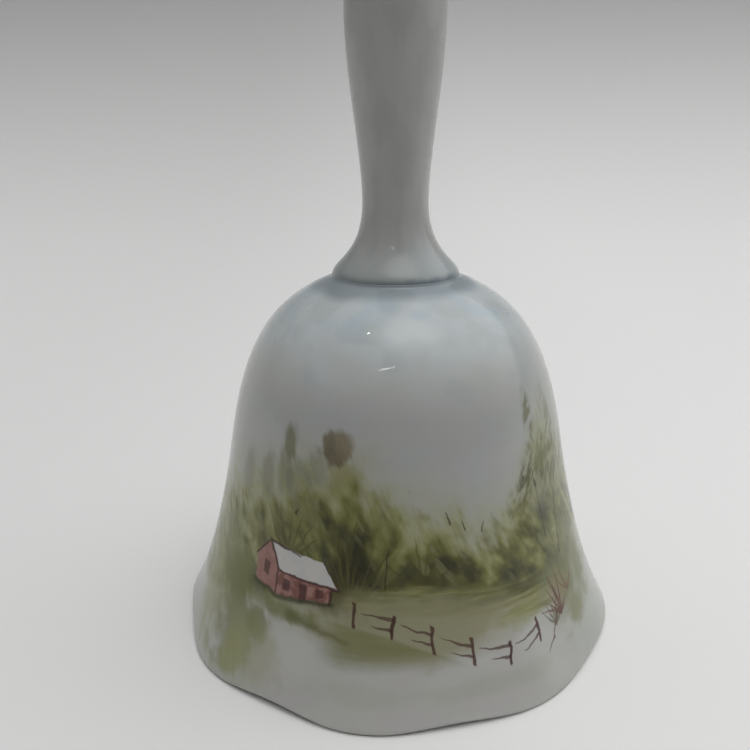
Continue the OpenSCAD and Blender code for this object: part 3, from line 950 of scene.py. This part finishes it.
def bead_glaze(name):
    """White glaze, thin round the bore, with a few marks from striking the bell."""
    material = new_material(name)
    c = Turned(material.node_tree, drum=6.0)
    c.use_true_places()
    middle = (ball_lo.z + ball_hi.z) / 2 / MM
    radius = ball_hi.x / MM
    pole = c.rise(c.maths("ABSOLUTE", c.height - middle), 0.86 * radius, 0.94 * radius)
    plain = c.over((0.66, 0.655, 0.62), (0.60, 0.59, 0.55), c.cloud(4, 4, 41))
    struck = c.rise(c.maths("ABSOLUTE", c.height - middle + 0.6), 1.5, 0.4)
    struck = struck * c.rise(c.cloud(1.0, 0.35, 42), 0.6, 0.68)
    colour = c.over(c.over(plain, (0.50, 0.46, 0.38), pole * 0.7), (0.45, 0.43, 0.39), struck * 0.5)
    roughness = pole * 0.3 + struck * 0.25 + c.cloud(1.0, 1.0, 43) * 0.1 + 0.2
    return glaze(material, c, colour, c.cloud(2.5, 2.5, 44, detail=1.0) * 0.06 - struck * 0.02, roughness)


def plaster(name):
    """Coarse plaster with darker patches, and small pits whose darker colour is painted shade."""
    material = new_material(name)
    c = Turned(material.node_tree, drum=6.0)
    c.use_true_places()
    shader = material.node_tree.nodes["Principled BSDF"]
    grains = c.cloud(0.35, 0.35, 51, detail=4.0)
    colour = c.over((0.70, 0.67, 0.59), (0.56, 0.52, 0.44), c.rise(c.cloud(3, 3, 52), 0.35, 0.7))
    pits, _ = c.cells(0.9, 0.9, 53, sharp=True)
    pit = c.rise(pits, 0.2, 0.1)
    # The pits are painted darker: painted shade in them
    colour = c.over(colour, (0.40, 0.36, 0.30), pit * 0.6)
    relief = (grains * 0.08 + c.cloud(1.6, 1.6, 54) * 0.2 - pit * 0.08) * MM
    c.join(colour, shader.inputs["Base Color"])
    c.join(grains * 0.15 + 0.78, shader.inputs["Roughness"])
    c.join(c.node("Bump", {"Height": relief, "Distance": 1.0}).outputs[0], shader.inputs["Normal"])
    return material


def brass_wire(name):
    """Drawn brass, bright in patches and browned by tarnish elsewhere."""
    material = new_material(name)
    c = Turned(material.node_tree, drum=1.8)
    shader = material.node_tree.nodes["Principled BSDF"]
    tarnish = c.rise(c.cloud(0.9, 1.4, 61, detail=4.0), 0.4, 0.66)
    drawn = c.cloud(0.08, 1.6, 62, detail=3.0)
    colour = c.over((0.62, 0.43, 0.17), (0.21, 0.13, 0.055), tarnish * 0.8)
    c.join(c.over(colour, (0.75, 0.58, 0.30), c.rise(drawn, 0.6, 0.75) * 0.35), shader.inputs["Base Color"])
    c.join(tarnish * 0.25 + drawn * 0.15 + 0.2, shader.inputs["Roughness"])
    relief = (drawn * 0.012 + tarnish * 0.006) * MM
    c.join(c.node("Bump", {"Height": relief, "Distance": 1.0}).outputs[0], shader.inputs["Normal"])
    shader.inputs["Metallic"].default_value = 1.0
    return material


# ---------------- studio

def lamp(name, place, aim, size, power, roll=0.0):
    """A small lamp whose reflection is a glint on the glaze. roll turns it about its own axis, in degrees."""
    data = bpy.data.lights.new(name, "AREA")
    data.shape, data.size, data.size_y = "RECTANGLE", *size
    data.energy = power
    lit = bpy.data.objects.new(name, data)
    bpy.context.scene.collection.objects.link(lit)
    lit.location = place
    lit.rotation_mode = "QUATERNION"
    aimed = (Vector(aim) - Vector(place)).to_track_quat("-Z", "Y")
    lit.rotation_quaternion = aimed @ Quaternion((0, 0, 1), math.radians(roll))


def soft_room():
    """A room with no edges to reflect: broad glows overhead and high on the right, a brighter one nearly
    overhead, and two faint ones low at the sides. The camera sees plain grey."""
    world = bpy.data.worlds.new("room")
    bpy.context.scene.world = world
    world.use_nodes = True
    n = Nodes(world.node_tree)
    way = n.vector("NORMALIZE", n.node("TexCoord").outputs["Generated"])

    def glow(direction, start):
        aim = Vector(direction).normalized()
        dot = n.node("VectorMath", {0: way, 1: tuple(aim)}, operation="DOT_PRODUCT")
        return n.rise(Field(n, dot.outputs["Value"]), start, 1.0)

    strength = glow((0, 0, 1), 0.3) * 0.61 + glow((0.55, 0.2, 0.8), 0.5) * 0.66
    strength = strength + glow((0.12, -0.22, 0.97), 0.9) * 1.85 + glow((1, 0.5, 0.1), 0.6) * 0.42
    strength = strength + glow((-1, 0.5, 0.15), 0.6) * 0.26
    seen = Field(n, n.node("LightPath").outputs["Is Camera Ray"])
    seen_grey = 0.45
    strength = strength + seen * (seen_grey - strength)
    background = world.node_tree.nodes["Background"]
    background.inputs["Color"].default_value = (1.0, 1.0, 1.0, 1)
    n.join(strength, background.inputs["Strength"])


def paper_sweep():
    """A pale floor that curves up into a backdrop, with painted light and shade: it is darker in front of the
    bell as a painted shadow, darker higher up as painted shade, and darker on the left than the right as a
    painted fall-off of the light.
    """
    start, radius, wall, reach = 0.45, 0.6, 0.9, 4.0
    bend = np.linspace(0.05, math.pi / 2, 30)
    sweep = [(-reach, 0.0), (start, 0.0)]
    sweep += [(start + radius * math.sin(t), radius - radius * math.cos(t)) for t in bend]
    sweep += [(start + radius, wall)]
    points = [(x, y, z) for y, z in sweep for x in (-reach, reach)]
    faces = [(2 * i, 2 * i + 1, 2 * i + 3, 2 * i + 2) for i in range(len(sweep) - 1)]
    paper = new_material("paper")
    n = Turned(paper.node_tree, drum=100.0)
    across, back = (Field(n, s) for s in n.node("SeparateXYZ", {0: n.place}).outputs[:2])
    shader = paper.node_tree.nodes["Principled BSDF"]
    # Darker to the left and lighter to the right: a painted fall-off of the light
    pale = n.over((0.82, 0.82, 0.815), (0.965, 0.965, 0.96), n.rise(across, -140, 140))
    # Darker higher up the backdrop: painted shade
    pale = n.over(pale, (0.42, 0.42, 0.42), n.rise(n.height, -60, 420))
    # Darker in front of the bell: a painted shadow
    n.join(n.over(pale, (0.40, 0.40, 0.40), n.rise(back, -50, -220)), shader.inputs["Base Color"])
    shader.inputs["Roughness"].default_value = 0.7
    mesh_object("floor", points, faces, paper)


def studio():
    """Camera, lights and floor. The camera's distance is in units of the rim's radius."""
    scene = bpy.context.scene
    scene.view_settings.view_transform = "Standard"
    scene.view_settings.look = "None"
    camera_data = bpy.data.cameras.new("camera")
    camera_data.lens, camera_data.sensor_width = 38.98, 36.0
    camera_data.clip_start, camera_data.clip_end = 0.01, 50.0
    camera = bpy.data.objects.new("camera", camera_data)
    scene.collection.objects.link(camera)
    camera.location = Vector((-0.0937, -3.507, 2.2865)) * RIM
    pitch, roll = math.radians(18.36), math.radians(-0.52)
    camera.rotation_mode = "QUATERNION"
    tilt = Matrix.Rotation(math.pi / 2 - pitch, 3, "X") @ Matrix.Rotation(roll, 3, "Z")
    camera.rotation_quaternion = tilt.to_quaternion()
    scene.camera = camera
    soft_room()
    lamp("ceiling_lamp", (-0.142, -0.062, 0.553), (0, 0, CROWN), (0.008, 0.008), 0.03)
    lamp("strip_lamp", (-0.06, -0.35, 0.43), (0, 0, CROWN), (0.09, 0.004), 0.035, roll=24)
    paper_sweep()


# ---------------- pieces

def place_piece(piece, body, slot, *nodes):
    """Ties a piece to a CAD body and hides the CAD nodes that it stands for. slot, its finish, is not used."""
    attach(piece, body)
    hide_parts(*nodes)


studio()
brass = brass_wire("brass_wire")
place_piece(bell_shell(painted_glaze("painted_glaze")), "bell", "painted_glaze", "bell_body")
place_piece(handle_shell(white_glaze("white_glaze")), "bell", "white_glaze", "handle")
place_piece(plaster_plug(plaster("plaster")), "bell", "plaster", "cement_plug")
place_piece(wire_eye(brass), "bell", "brass_wire", "hanger_eye")
for number in (1, 2, 3):
    place_piece(wire_link(number, brass), f"link_{number}", "brass_wire", f"chain_link_{number}")
place_piece(wire_pin(brass), "clapper", "brass_wire", "clapper_pin")
place_piece(porcelain_bead(bead_glaze("bead_glaze")), "clapper", "bead_glaze", "clapper_ball")
